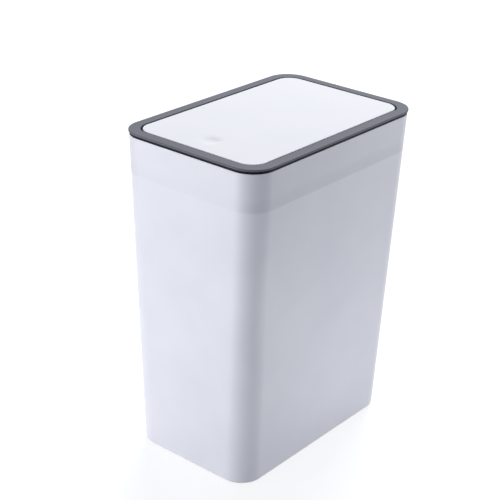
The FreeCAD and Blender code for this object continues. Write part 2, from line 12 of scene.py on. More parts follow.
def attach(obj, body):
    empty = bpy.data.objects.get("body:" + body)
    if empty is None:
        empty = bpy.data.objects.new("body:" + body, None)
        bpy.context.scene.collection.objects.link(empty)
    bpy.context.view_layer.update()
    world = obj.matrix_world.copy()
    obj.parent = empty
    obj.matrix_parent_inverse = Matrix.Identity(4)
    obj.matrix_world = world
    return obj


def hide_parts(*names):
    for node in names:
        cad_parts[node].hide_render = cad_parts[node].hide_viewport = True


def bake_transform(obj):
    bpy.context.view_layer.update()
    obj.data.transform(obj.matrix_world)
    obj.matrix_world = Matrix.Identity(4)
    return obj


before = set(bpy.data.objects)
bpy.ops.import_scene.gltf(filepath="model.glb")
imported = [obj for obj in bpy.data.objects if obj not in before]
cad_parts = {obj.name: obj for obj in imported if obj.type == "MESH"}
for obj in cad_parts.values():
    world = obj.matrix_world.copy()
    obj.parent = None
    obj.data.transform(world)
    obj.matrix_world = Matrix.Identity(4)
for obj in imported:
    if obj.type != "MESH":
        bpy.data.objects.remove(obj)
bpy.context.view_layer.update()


LOG = logging.getLogger("waste_bin")
MM = 0.001  # metres in a millimetre
SMOOTH_LIMIT = np.radians(32.0)  # edges sharper than this stay crisp
ARC_STEPS = 24  # columns in a quarter arc
ROUND_STEPS = 8  # rows over a rounded edge
EDGE_SHARES = (0.01, 0.5, 0.99)  # columns on a straight side, so that it shades flat up to its ends
LEFT_START, RIGHT_START = 1.5, 3.5  # places on an outline where its left and right sides start
PLACE_DIGITS = 4  # places on an outline that agree to so many digits are one
WIRE_STEPS = 12  # columns round a wire
SMALL = 1e-6  # least divisor
QUARTER = np.pi / 2


class Body(Enum):
    """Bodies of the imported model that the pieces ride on."""

    BUCKET = "bucket"
    RING = "bag_ring"
    FRAME = "lid_frame"
    LID = "lid"
    SLIDER = "latch_slider"


class Slot(Enum):
    """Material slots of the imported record."""

    BUCKET = "bucket_plastic"
    RING = "ring_plastic"
    FRAME = "frame_plastic"
    LID = "lid_plastic"
    LATCH = "latch_plastic"
    ROD = "rod_steel"
    SPRING = "spring_steel"
    SCREW = "screw_steel"


# Surfaces


@dataclass(frozen=True)
class Outline:
    """Rounded rectangle, in millimetres.

    A quarter circle turns about a corner's middle, and that middle then slides to the next corner.
    """

    half_x: float
    half_y: float
    corner: float

    def grown(self, amount: float) -> "Outline":
        """The outline moved out by an amount."""
        return Outline(self.half_x + amount, self.half_y + amount, self.corner + amount)

    def plan(self, path: np.ndarray) -> np.ndarray:
        """Points on the outline.

        Args:
            path: places from 0 to 4. The first half of each unit is a corner's arc, and the second
                half is the side after it.

        Returns:
            X and Y of each place, shape (n, 2).
        """
        turn = np.floor(path).astype(int) % 4
        part = 2 * (path - np.floor(path))
        bend = (turn + np.clip(part, 0, 1)) * QUARTER
        slide = np.clip(part - 1, 0, 1)[:, None]
        signs = np.array([[1, 1], [-1, 1], [-1, -1], [1, -1]])
        middles = signs * np.array([self.half_x - self.corner, self.half_y - self.corner])
        middle = middles[turn] * (1 - slide) + middles[(turn + 1) % 4] * slide
        return middle + self.corner * np.stack([np.cos(bend), np.sin(bend)], -1)

    def ring(self, path: np.ndarray, level: float | np.ndarray) -> np.ndarray:
        """The outline's points at a level.

        Args:
            path: places along the outline.
            level: height in millimetres, one or one for each place.

        Returns:
            Points of shape (n, 3).
        """
        return raised(self.plan(path), level)


def raised(plan: np.ndarray, level: float | np.ndarray) -> np.ndarray:
    """Give plan points a height.

    Args:
        plan: X and Y, shape (n, 2).
        level: one height or one for each point.

    Returns:
        Points of shape (n, 3).
    """
    return np.column_stack([plan, np.broadcast_to(level, len(plan))])


def outline_path() -> np.ndarray:
    """Places round an outline: even steps in the arcs and a few on the straight sides."""
    arc = np.linspace(0, 0.5, ARC_STEPS + 1)
    straight = 0.5 + np.array(EDGE_SHARES) / 2
    unit = np.concatenate([arc, straight])
    return (np.arange(4)[:, None] + unit).ravel()


def circle(radius: float, angles: np.ndarray, centre: tuple[float, float] = (0.0, 0.0)) -> np.ndarray:
    """Points on a circle.

    Args:
        radius: in millimetres.
        angles: in radians.
        centre: X and Y of its middle.

    Returns:
        X and Y of shape (n, 2).
    """
    return np.array(centre) + radius * np.stack([np.cos(angles), np.sin(angles)], -1)


@dataclass(frozen=True)
class Surface:
    """Points in millimetres and the faces between them."""

    points: np.ndarray
    faces: list[list[int]]

    @staticmethod
    def lofted(rows: np.ndarray, capped: bool = False, wrapped: bool = False) -> "Surface":
        """Skin over closed rows: point (i, j) joins (i, j + 1) and (i + 1, j), and each row closes.

        Args:
            rows: grid of shape (rows, columns, 3), columns anticlockwise seen along the rows' way.
            capped: close the first and last row with a flat face.
            wrapped: join the last row to the first.

        Returns:
            The closed skin, with faces outwards.
        """
        count, columns = rows.shape[:2]
        index = np.arange(count * columns).reshape(count, columns)
        grid = np.vstack([index, index[:1]]) if wrapped else index
        low, high = grid[:-1], grid[1:]
        quads = np.stack([low, np.roll(low, -1, 1), np.roll(high, -1, 1), high], -1)
        faces = quads.reshape(-1, 4).tolist()
        if capped:
            faces += [index[0, ::-1].tolist(), index[-1].tolist()]
        return Surface(rows.reshape(-1, 3), faces)

    def joined(self, *others: "Surface") -> "Surface":
        """This surface and others as one set of shells.

        Args:
            others: surfaces to add.

        Returns:
            All points and faces together.
        """
        points, faces = self.points, list(self.faces)
        for other in others:
            first = len(points)
            faces += [[corner + first for corner in face] for face in other.faces]
            points = np.vstack([points, other.points])
        return Surface(points, faces)

    def to_object(self, name: str) -> bpy.types.Object:
        """Make a smooth-shaded object with its place in its mesh.

        Args:
            name: name of the piece.

        Returns:
            The linked object.
        """
        mesh = bpy.data.meshes.new(name)
        mesh.from_pydata((self.points * MM).tolist(), [], self.faces)
        mesh.polygons.foreach_set("use_smooth", np.ones(len(self.faces), bool))
        mesh.set_sharp_from_angle(angle=SMOOTH_LIMIT)
        mesh.validate()
        piece = bpy.data.objects.new(name, mesh)
        bpy.context.scene.collection.objects.link(piece)
        return piece


def sleeve(outer: np.ndarray, inner: np.ndarray, way: np.ndarray) -> Surface:
    """Short tube: an outer and an inner loop carried along a straight way, and closed at both ends.

    Args:
        outer: outer loop at the start, shape (n, 3), anticlockwise seen against the way.
        inner: inner loop with as many points.
        way: vector from the start to the end.

    Returns:
        The closed tube.
    """
    return Surface.lofted(np.stack([outer, outer + way, inner + way, inner]), wrapped=True)


def wire(path: np.ndarray, ways: np.ndarray, sides: np.ndarray, diameter: float) -> Surface:
    """Round wire: a circle in the plane of each point's side and of its way crossed with that side.

    Args:
        path: middle line, shape (n, 3).
        ways: unit directions along it.
        sides: unit directions square to them.
        diameter: of the wire.

    Returns:
        The closed wire.
    """
    turns = np.linspace(0, 2 * np.pi, WIRE_STEPS, endpoint=False)
    across = np.cross(ways, sides)
    ring = np.cos(turns)[:, None] * sides[:, None] + np.sin(turns)[:, None] * across[:, None]
    return Surface.lofted(path[:, None] + ring * diameter / 2, capped=True)


# Finishes


def linear(code: str) -> tuple[float, float, float, float]:
    """Turn an sRGB hex colour into linear light, by the curve of the sRGB standard.

    Args:
        code: six hex digits after a hash.

    Returns:
        Red, green, blue and full alpha.
    """
    part = np.array([int(code[at:at + 2], 16) for at in (1, 3, 5)]) / 255
    light = np.where(part <= 0.04045, part / 12.92, ((part + 0.055) / 1.055) ** 2.4)
    return (*(float(value) for value in light), 1.0)


def add_node(tree: bpy.types.NodeTree, kind: str, inputs: dict, **settings) -> bpy.types.Node:
    """Add a node with its settings, values and links.

    Args:
        tree: where it goes.
        kind: Blender's name of the node.
        inputs: socket name or number to a value, or to the output that feeds it.
        settings: the node's own properties.

    Returns:
        The node.
    """
    node = tree.nodes.new(kind)
    for name, value in settings.items():
        setattr(node, name, value)
    for key, value in inputs.items():
        if isinstance(value, bpy.types.NodeSocket):
            tree.links.new(value, node.inputs[key])
        else:
            node.inputs[key].default_value = value
    return node


def new_material(name: str) -> tuple[bpy.types.Material, bpy.types.NodeTree]:
    """Start an empty node material.

    Args:
        name: of the material.

    Returns:
        The material and its node tree.
    """
    material = bpy.data.materials.new(name)
    material.use_nodes = True
    material.node_tree.nodes.clear()
    return material, material.node_tree


MIX_A, MIX_B, MIX_RESULT = 6, 7, 2  # colour sockets of a Mix node
FLOW_DETAIL, GRAIN_DETAIL, LINE_DETAIL = 2.0, 1.0, 3.0  # octaves of each noise


@dataclass(frozen=True)
class MouldedPlastic:
    """Injection-moulded plastic: an even satin colour with faint flow marks and a fine mould grain."""

    name: str
    colour: str
    shade: str
    roughness: float
    flow_mm: float = 70.0
    flow_span: tuple[float, float] = (0.3, 0.7)  # values of the flow noise where each tone is pure
    grain_mm: float = 1.1  # real grain is about 0.1 mm, drawn coarser so that it shows
    grain_depth_mm: float = 0.012
    grain_strength: float = 0.5
    roughness_swing: float = 0.05
    ior: float = 1.49
    specular: float = 0.5

    def tint(self, tree: bpy.types.NodeTree, place: bpy.types.NodeSocket) -> bpy.types.NodeSocket:
        """Colour that drifts between the two tones in soft flow marks.

        Args:
            tree: the material's nodes.
            place: object coordinates.

        Returns:
            The colour output.
        """
        low, high = self.flow_span
        flow = add_node(tree, "ShaderNodeTexNoise",
                        {"Vector": place, "Scale": 1 / (self.flow_mm * MM), "Detail": FLOW_DETAIL})
        spread = add_node(tree, "ShaderNodeMapRange",
                          {"Value": flow.outputs["Fac"], "From Min": low, "From Max": high})
        mix = add_node(tree, "ShaderNodeMix",
                       {"Factor": spread.outputs["Result"],
                        MIX_A: linear(self.colour), MIX_B: linear(self.shade)},
                       data_type="RGBA")
        return mix.outputs[MIX_RESULT]

    def build(self) -> bpy.types.Material:
        """Make the material.

        Returns:
            The finished material.
        """
        material, tree = new_material(self.name)
        place = add_node(tree, "ShaderNodeTexCoord", {}).outputs["Object"]
        grain = add_node(tree, "ShaderNodeTexNoise",
                         {"Vector": place, "Scale": 1 / (self.grain_mm * MM), "Detail": GRAIN_DETAIL})
        gloss = add_node(tree, "ShaderNodeMapRange",
                         {"Value": grain.outputs["Fac"], "To Min": self.roughness - self.roughness_swing,
                          "To Max": self.roughness + self.roughness_swing})
        bump = add_node(tree, "ShaderNodeBump",
                        {"Height": grain.outputs["Fac"], "Strength": self.grain_strength,
                         "Distance": self.grain_depth_mm * MM})
        shader = add_node(tree, "ShaderNodeBsdfPrincipled",
                          {"Base Color": self.tint(tree, place), "Roughness": gloss.outputs["Result"],
                           "Normal": bump.outputs["Normal"], "IOR": self.ior,
                           "Specular IOR Level": self.specular})
        add_node(tree, "ShaderNodeOutputMaterial", {"Surface": shader.outputs["BSDF"]})
        return material


@dataclass(frozen=True)
class Ramp:
    """Smooth step from one share to another between two places, in millimetres."""

    start_mm: float
    end_mm: float
    before: float
    after: float

    def build(self, tree: bpy.types.NodeTree, place: bpy.types.NodeSocket) -> bpy.types.NodeSocket:
        """Add the step to a material.

        Args:
            tree: the material's nodes.
            place: one object coordinate.

        Returns:
            The share at that place.
        """
        step = add_node(tree, "ShaderNodeMapRange",
                        {"Value": place, "From Min": self.start_mm * MM, "From Max": self.end_mm * MM,
                         "To Min": self.before, "To Max": self.after}, interpolation_type="SMOOTHSTEP")
        return step.outputs["Result"]


@dataclass(frozen=True)
class MilkyPlastic(MouldedPlastic):
    """Thin natural polypropylene, with painted shade: a faint soft band painted into the colour where the
    dark collar behind the wall holds back light.
    """

    # Painted shade: the collar's shade through the wall is painted into the colour by height and side.
    painted_shade_colour: str = "#8e919b"
    painted_shade_edge: Ramp = Ramp(348.0, 351.5, 0.0, 1.0)  # painted shade starts at the collar's lower edge, blurred by the wall
    painted_shade_fade: Ramp = Ramp(357.0, 369.0, 1.0, 0.55)  # painted shade darkest just above that edge
    painted_shade_sides: Ramp = Ramp(66.0, 92.0, 0.05, 0.21)  # painted shade stronger on the long sides than on the ends

    def tint(self, tree: bpy.types.NodeTree, place: bpy.types.NodeSocket) -> bpy.types.NodeSocket:
        """Flow colour, pulled towards the painted shade's tone by the product of its three steps.

        Args:
            tree: the material's nodes.
            place: object coordinates.

        Returns:
            The colour output.
        """
        plain = super().tint(tree, place)
        where = add_node(tree, "ShaderNodeSeparateXYZ", {"Vector": place}).outputs
        across = add_node(tree, "ShaderNodeMath", {0: where["X"]}, operation="ABSOLUTE").outputs[0]
        edge = self.painted_shade_edge.build(tree, where["Z"])
        fade = self.painted_shade_fade.build(tree, where["Z"])
        sides = self.painted_shade_sides.build(tree, across)
        height = add_node(tree, "ShaderNodeMath", {0: edge, 1: fade}, operation="MULTIPLY")
        share = add_node(tree, "ShaderNodeMath", {0: height.outputs[0], 1: sides}, operation="MULTIPLY")
        mix = add_node(tree, "ShaderNodeMix",
                       {"Factor": share.outputs[0], MIX_A: plain, MIX_B: linear(self.painted_shade_colour)},
                       data_type="RGBA")
        return mix.outputs[MIX_RESULT]


@dataclass(frozen=True)
class DrawnSteel:
    """Steel pulled through a die: bright metal with fine lines along the draw."""

    name: str
    colour: str
    shade: str
    roughness: float
    line_mm: float = 0.35
    line_length_mm: float = 30.0
    roughness_swing: float = 0.08
    along: int = 0  # axis of the draw

    def build(self) -> bpy.types.Material:
        """Make the material.

        Returns:
            The finished material.
        """
        material, tree = new_material(self.name)
        place = add_node(tree, "ShaderNodeTexCoord", {}).outputs["Object"]
        scale = [1 / (self.line_mm * MM)] * 3
        scale[self.along] = 1 / (self.line_length_mm * MM)
        stretched = add_node(tree, "ShaderNodeMapping", {"Vector": place, "Scale": scale})
        lines = add_node(tree, "ShaderNodeTexNoise",
                         {"Vector": stretched.outputs["Vector"], "Scale": 1.0, "Detail": LINE_DETAIL})
        tone = add_node(tree, "ShaderNodeMix",
                        {"Factor": lines.outputs["Fac"],
                         MIX_A: linear(self.colour), MIX_B: linear(self.shade)},
                        data_type="RGBA")
        gloss = add_node(tree, "ShaderNodeMapRange",
                         {"Value": lines.outputs["Fac"], "To Min": self.roughness - self.roughness_swing,
                          "To Max": self.roughness + self.roughness_swing})
        shader = add_node(tree, "ShaderNodeBsdfPrincipled",
                          {"Base Color": tone.outputs[MIX_RESULT], "Roughness": gloss.outputs["Result"],
                           "Metallic": 1.0})
        add_node(tree, "ShaderNodeOutputMaterial", {"Surface": shader.outputs["BSDF"]})
        return material


# Natural polypropylene lets some light in, so the walls look soft and a little blue; the collar's shade
# through the wall is painted into its colour as a band.
BUCKET_FINISH = MilkyPlastic("milky moulded polypropylene", "#e2e3ec", "#dddfe8", roughness=0.42)
# Carbon-black polypropylene gives a deep, soft black.
RING_FINISH = MouldedPlastic("black moulded polypropylene", "#0e0f14", "#0b0c10",
                             roughness=0.6, specular=0.1)
# Grey masterbatch in polypropylene gives a flat, slightly blue grey.
FRAME_FINISH = MouldedPlastic("grey moulded polypropylene", "#646771", "#60636c",
                              roughness=0.5, specular=0.15)
# Titanium-white polypropylene off a fine-etched mould gives a dense clean white, nearly without sheen.
LID_FINISH = MouldedPlastic("white moulded polypropylene", "#f0f0f4", "#edeef2",
                            roughness=0.55, specular=0.1)
# Natural acetal gives a smooth off-white with a waxy gloss.
LATCH_FINISH = MouldedPlastic("moulded acetal", "#c3c5c8", "#bbbdc0", roughness=0.33, flow_mm=12.0)
# Bright-drawn rod shows long lines and a broad highlight.
ROD_FINISH = DrawnSteel("bright drawn steel", "#cfd0d2", "#b4b5b8", roughness=0.26)
# Spring wire is a little darker from its heat treatment.
SPRING_FINISH = DrawnSteel("drawn spring wire", "#b9babd", "#97989c", roughness=0.3, line_length_mm=6.0)
# Zinc plating gives a cool bright metal with a soft bloom.
SCREW_FINISH = DrawnSteel("zinc-plated steel", "#d2d5da", "#b9bec6",
                          roughness=0.34, line_mm=0.8, line_length_mm=0.8)

FINISHES = {
    Slot.BUCKET: BUCKET_FINISH,
    Slot.RING: RING_FINISH,
    Slot.FRAME: FRAME_FINISH,
    Slot.LID: LID_FINISH,
    Slot.LATCH: LATCH_FINISH,
    Slot.ROD: ROD_FINISH,
    Slot.SPRING: SPRING_FINISH,
    Slot.SCREW: SCREW_FINISH,
}


class Paint:
    """The finished materials, one for each slot."""

    def __init__(self) -> None:
        """Build every material once."""
        self.materials = {slot: finish.build() for slot, finish in FINISHES.items()}

    def piece(self, piece: bpy.types.Object, slot: Slot, node: str) -> None:
        """Dress a new piece that stands for a node.

        Args:
            piece: the new object.
            slot: its material slot.
            node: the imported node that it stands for.
        """
        piece.data.materials.append(self.materials[slot])
        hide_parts(node)
        LOG.info("%s stands for %s in %s", piece.name, node, slot.value)

    def node(self, name: str, slot: Slot) -> None:
        """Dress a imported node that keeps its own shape.

        Args:
            name: of the node.
            slot: its material slot.
        """
        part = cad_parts[name]
        if not part.material_slots:
            part.data.materials.append(None)
        for place in part.material_slots:
            place.material = self.materials[slot]
        LOG.info("%s keeps its shape in %s", name, slot.value)


# Sub-assemblies, with lengths in millimetres and slopes in degrees


@dataclass(frozen=True)
class Bucket:
    """Tapered bucket with a raised floor, and the bag ring that hangs in its rim."""

    foot: Outline = Outline(86.5, 137.5, 29.0)
    rim: Outline = Outline(99.0, 149.0, 29.0)
    rim_level: float = 394.6
    wall: float = 2.2
    wall_start: float = 4.0  # lowest row of the straight wall
    wall_end: float = 1.2  # from the rim down to that wall's highest row
    wall_rows: int = 18
    floor: float = 2.6
    floor_round: float = 6.0
    foot_rise: float = 1.6
    foot_band: float = 11.0
    foot_round: float = 3.0
    foot_flat: float = 0.6  # row beside the foot's round that keeps the band flat
    rim_round: float = 0.6
    rim_bevel: float = 0.3  # on the rim's inner edge
    ring_flange: float = 3.2
    ring_inset: float = 0.4
    ring_wall: float = 1.6
    ring_clearance: float = 0.6
    ring_depth: float = 45.0

    def size(self, level: float, inset: float) -> Outline:
        """Outline of the tapered wall: foot and rim mixed by height, then moved in.

        Args:
            level: height in millimetres.
            inset: distance inwards.

        Returns:
            The outline there.
        """
        share = level / self.rim_level
        half_x = self.foot.half_x + (self.rim.half_x - self.foot.half_x) * share
        half_y = self.foot.half_y + (self.rim.half_y - self.foot.half_y) * share
        return Outline(half_x, half_y, self.foot.corner).grown(-inset)

    def rows(self, profile: np.ndarray) -> np.ndarray:
        """Carry a profile round the wall.

        Args:
            profile: level and inset of each row, shape (n, 2).

        Returns:
            Grid of points.
        """
        path = outline_path()
        return np.stack([self.size(level, inset).ring(path, level) for level, inset in profile])

    def shell(self) -> Surface:
        """Under the floor, over the foot, up the outside, over the rim and down the inside to the floor."""
        turn = np.linspace(0, QUARTER, ROUND_STEPS + 1)
        foot = np.column_stack([1 - np.cos(turn), 1 - np.sin(turn)]) * self.foot_round
        levels = np.linspace(self.wall_start, self.rim_level - self.wall_end, self.wall_rows)
        outside = np.column_stack([levels, np.zeros(self.wall_rows)])
        rim_top = np.column_stack([np.sin(turn) - 1, 1 - np.cos(turn)]) * self.rim_round
        rim_top += [self.rim_level, 0]
        inside = outside[::-1][:-1] + [0, self.wall]
        bowl = np.column_stack([1 - np.sin(turn), 1 - np.cos(turn)]) * self.floor_round
        bowl += [self.foot_rise + self.floor, self.wall]
        under = [[self.foot_rise, self.foot_band], [0, self.foot_band],
                 [0, self.foot_round + self.foot_flat]]
        lip = [[self.rim_level, self.wall - self.rim_bevel], [self.rim_level - self.rim_bevel, self.wall]]
        profile = np.vstack([under, foot, outside, rim_top, lip, inside, bowl])
        return Surface.lofted(self.rows(profile), capped=True)

    def collar(self) -> Surface:
        """Bag ring: up the collar's outside, round the flange and down its bore."""
        low = self.rim_level - self.ring_depth
        top = self.rim_level + self.ring_flange
        outer = self.wall + self.ring_clearance
        bore = outer + self.ring_wall
        flange = self.ring_inset + self.size(top, 0).half_x - self.rim.half_x
        profile = np.array([[low, bore], [low, outer], [self.rim_level, outer],
                            [self.rim_level, self.ring_inset], [top, flange], [top, bore]])
        return Surface.lofted(self.rows(profile), wrapped=True)

    def dress(self, paint: Paint) -> None:
        """Build both shells and put them on their bodies.

        Args:
            paint: the finished materials.
        """
        shell = self.shell().to_object("bucket_shell")
        paint.piece(shell, Slot.BUCKET, "bucket")
        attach(shell, Body.BUCKET.value)
        collar = self.collar().to_object("bag_ring_collar")
        paint.piece(collar, Slot.RING, "bag_ring")
        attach(collar, Body.RING.value)


@dataclass(frozen=True)
class Lid:
    """Flush lid with a press dimple, a turned-down skirt and three hinge knuckles."""

    outline: Outline = Outline(85.57415, 136.01622, 20.0)
    top: float = 400.0
    panel: float = 2.4
    skirt_depth: float = 7.0
    skirt_wall: float = 2.0
    edge_round: float = 1.0
    edge_share: float = 1.6  # of that round, from the edge to the first row on a flat face
    edge_places: int = 4001  # close places on the edge, to find even angles from the dimple
    dimple_radius: float = 15.0
    dimple_core: float = 0.4  # radius of the dimple's innermost row
    dimple_land: float = 0.5  # flat row beside the dimple's brow
    dimple_depth: float = 2.6
    dimple_setback: float = 31.0
    dimple_backing: float = 0.8
    dimple_rows: int = 22
    dimple_columns: int = 96
    span_rows: int = 7
    hinge_setback: float = 27.0
    hinge_drop: float = 7.0
    notch_radius: float = 2.6
    notch_columns: int = 13
    knuckle_radius: float = 3.8
    knuckle_width: float = 6.0
    knuckle_inset: float = 25.0
    knuckle_sink: float = 0.4  # how far a knuckle's web or a boss runs into the panel
    knuckle_columns: int = 64
    rod_bore: float = 2.05
    cover_drop: float = 1.4
    cover_setback: float = 12.0
    boss_radius: float = 3.35
    boss_bore: float = 1.3
    boss_inset: float = 14.0
    boss_columns: int = 32

    @property
    def hinge_y(self) -> float:
        """Y of the hinge axis."""
        return self.outline.half_y - self.hinge_setback

    @property
    def hinge_z(self) -> float:
        """Z of the hinge axis."""
        return self.top - self.hinge_drop

    @property
    def dimple_y(self) -> float:
        """Y of the dimple's middle."""
        return self.dimple_setback - self.outline.half_y

    def path(self) -> np.ndarray:
        """Places round the edge: the usual ones, even angles seen from the dimple, and the rod notches."""
        dense = np.linspace(0, 4, self.edge_places)
        away = self.outline.plan(dense) - [0, self.dimple_y]
        angles = np.unwrap(np.arctan2(away[:, 1], away[:, 0]))
        even = np.linspace(angles[0], angles[-1], self.dimple_columns, endpoint=False)
        turns = np.linspace(0, np.pi, self.notch_columns)
        notch_y = self.hinge_y + self.notch_radius * np.cos(turns)
        flat = self.outline.half_y - self.outline.corner
        left = LEFT_START + (flat - notch_y) / (4 * flat)
        right = RIGHT_START + (flat + notch_y) / (4 * flat)
        places = np.concatenate([outline_path(), np.interp(even, angles, dense), left, right])
        return np.unique(np.round(places, PLACE_DIGITS))

    def dip(self, radius: np.ndarray) -> np.ndarray:
        """Height of the dimple: one arc in the bowl and an equal one over the brow, tangent midway.

        Args:
            radius: distances from its middle.

        Returns:
            Heights in millimetres.
        """
        bend = (self.dimple_radius ** 2 + self.dimple_depth ** 2) / (4 * self.dimple_depth)
        bowl = self.top - self.dimple_depth + bend - np.sqrt(bend ** 2 - radius ** 2)
        brow = self.top - bend + np.sqrt(bend ** 2 - (self.dimple_radius - radius) ** 2)
        return np.where(radius < self.dimple_radius / 2, bowl, brow)

    def shell(self) -> Surface:
        """Out from the dimple's back, under the panel, round the skirt, over the edge and to the dimple."""
        path = self.path()
        plan = self.outline.plan(path)
        away = plan - [0, self.dimple_y]
        angles = np.arctan2(away[:, 1], away[:, 0])
        centre = (0.0, self.dimple_y)
        under = self.top - self.panel
        back = circle(self.dimple_radius, angles, centre)
        rows = [raised(back, under - self.dimple_backing), raised(back, under)]

        inner = self.outline.grown(-self.skirt_wall)
        on_side = np.abs(plan[:, 0]) > inner.half_x
        reach = np.where(on_side, self.notch_radius ** 2 - (plan[:, 1] - self.hinge_y) ** 2, 0)
        bottom = self.top - self.skirt_depth + np.sqrt(np.clip(reach, 0, None))
        rows += [inner.ring(path, under), inner.ring(path, bottom), self.outline.ring(path, bottom)]

        margin = self.edge_share * self.edge_round
        rows.append(self.outline.ring(path, self.top - margin))
        for turn in np.linspace(0, QUARTER, ROUND_STEPS + 1):
            edge = self.outline.grown(-self.edge_round * (1 - np.cos(turn)))
            rows.append(edge.ring(path, self.top + self.edge_round * (np.sin(turn) - 1)))

        flat = self.outline.grown(-margin).plan(path)
        brow = circle(self.dimple_radius + self.dimple_land, angles, centre)
        for share in np.linspace(0, 1, self.span_rows):
            rows.append(raised(flat * (1 - share) + brow * share, self.top))
        dimple = np.linspace(self.dimple_radius, self.dimple_core, self.dimple_rows)
        for radius, level in zip(dimple, self.dip(dimple)):
            rows.append(raised(circle(radius, angles, centre), level))
        return Surface.lofted(np.stack(rows), capped=True)

    def knuckles(self) -> list[Surface]:
        """Round below and square above: each ray from the axis ends on a circle or on the web's box."""
        rise = self.hinge_drop - self.panel + self.knuckle_sink
        corner = np.arctan2(rise, self.knuckle_radius)
        even = np.linspace(0, 2 * np.pi, self.knuckle_columns, endpoint=False)
        turns = np.unique(np.concatenate([even, [corner, np.pi - corner]]))
        to_side = self.knuckle_radius / np.maximum(np.abs(np.cos(turns)), SMALL)
        to_top = rise / np.maximum(np.sin(turns), SMALL)
        reach = np.where(np.sin(turns) > 0, np.minimum(to_side, to_top), self.knuckle_radius)
        across = np.stack([np.zeros_like(turns), np.cos(turns), np.sin(turns)], -1)
        far = self.outline.half_x - self.knuckle_inset
        found = []
        for middle in (-far, 0.0, far):
            start = np.array([middle - self.knuckle_width / 2, self.hinge_y, self.hinge_z])
            found.append(sleeve(start + reach[:, None] * across, start + self.rod_bore * across,
                                np.array([self.knuckle_width, 0, 0])))
        return found

    def bosses(self) -> list[Surface]:
        """Four screw sleeves between the panel and the inner cover."""
        turns = np.linspace(0, 2 * np.pi, self.boss_columns, endpoint=False)
        x = self.outline.half_x - self.boss_inset
        front = 2 * self.boss_inset - self.outline.half_y
        rear = self.hinge_y - self.cover_setback - self.boss_inset
        low = self.top - self.panel - self.cover_drop
        way = np.array([0, 0, self.cover_drop + self.knuckle_sink])
        return [sleeve(raised(circle(self.boss_radius, turns, centre), low),
                       raised(circle(self.boss_bore, turns, centre), low), way)
                for centre in ((-x, front), (x, front), (-x, rear), (x, rear))]

    def dress(self, paint: Paint) -> None:
        """Build the lid and dress what is screwed to it.

        Args:
            paint: the finished materials.
        """
        panel = self.shell().joined(*self.knuckles(), *self.bosses()).to_object("lid_moulding")
        paint.piece(panel, Slot.LID, "lid_panel")
        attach(panel, Body.LID.value)
        paint.node("lid_inner_cover", Slot.LID)
        paint.node("cover_screws", Slot.SCREW)
        paint.node("striker", Slot.LATCH)
        paint.node("striker_screws", Slot.SCREW)


@dataclass(frozen=True)
class Hinge:
    """Lid frame with its rod, and two torsion springs that run from the frame to the lid."""

    lid: Lid = field(default_factory=Lid)
    wire_diameter: float = 1.2
    pitch: float = 1.8
    turns: int = 5
    seat: float = 0.3
    upper_leg: float = 9.0
    lower_slope: float = 40.0
    shelf_top: float = 380.0
    steps_a_turn: int = 40
    leg_steps: int = 6

    def spring(self, side: int) -> tuple[Surface, float, float]:
        """Helix on the rod with straight legs along its end tangents.

        The angle runs from +Y towards +Z, and X moves in by one pitch each turn.

        Args:
            side: 1 for the right spring, -1 for the left one.

        Returns:
            The wire, and X of its outer and inner end.
        """
        first = np.radians(self.lower_slope - 90)
        last = QUARTER + 2 * np.pi * self.turns
        length = self.pitch * (last - first) / (2 * np.pi)
        knuckle_face = self.lid.outline.half_x - self.lid.knuckle_inset + self.lid.knuckle_width / 2
        bay = (knuckle_face + self.lid.outline.half_x - self.lid.skirt_wall) / 2
        outer = bay + length / 2
        radius = self.lid.hinge_drop - self.lid.panel - self.seat - self.wire_diameter / 2
        angle = np.linspace(first, last, self.steps_a_turn * (self.turns + 1))
        middle = np.column_stack([side * (outer - self.pitch * (angle - first) / (2 * np.pi)),
                                  self.lid.hinge_y + radius * np.cos(angle),
                                  self.lid.hinge_z + radius * np.sin(angle)])
        ways = np.column_stack([np.full_like(angle, -side * self.pitch / (2 * np.pi)),
                                -radius * np.sin(angle), radius * np.cos(angle)])
        ways /= np.linalg.norm(ways, axis=1, keepdims=True)
        sides = np.column_stack([np.zeros_like(angle), np.cos(angle), np.sin(angle)])
        drop = middle[0, 2] - self.shelf_top - self.seat - self.wire_diameter / 2
        down = np.linspace(drop / ways[0, 2], 0, self.leg_steps, endpoint=False)[:, None]
        out = np.linspace(0, self.upper_leg, self.leg_steps + 1)[1:, None]
        path = np.vstack([middle[0] - ways[0] * down, middle, middle[-1] + ways[-1] * out])
        before, after = np.zeros(self.leg_steps, int), np.full(self.leg_steps, len(angle) - 1)
        order = np.concatenate([before, np.arange(len(angle)), after])
        surface = wire(path, ways[order], sides[order], self.wire_diameter)
        return surface, side * outer, side * (outer - length)

    def dress(self, paint: Paint) -> None:
        """Wind the springs, and dress the frame and rod.

        Args:
            paint: the finished materials.
        """
        paint.node("lid_frame", Slot.FRAME)
        paint.node("hinge_rod", Slot.ROD)
        for side, word in ((-1, "left"), (1, "right")):
            surface, outer, inner = self.spring(side)
            spring = surface.to_object(f"torsion_wire_{word}")
            paint.piece(spring, Slot.SPRING, f"torsion_spring_{word}")
            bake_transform(spring)


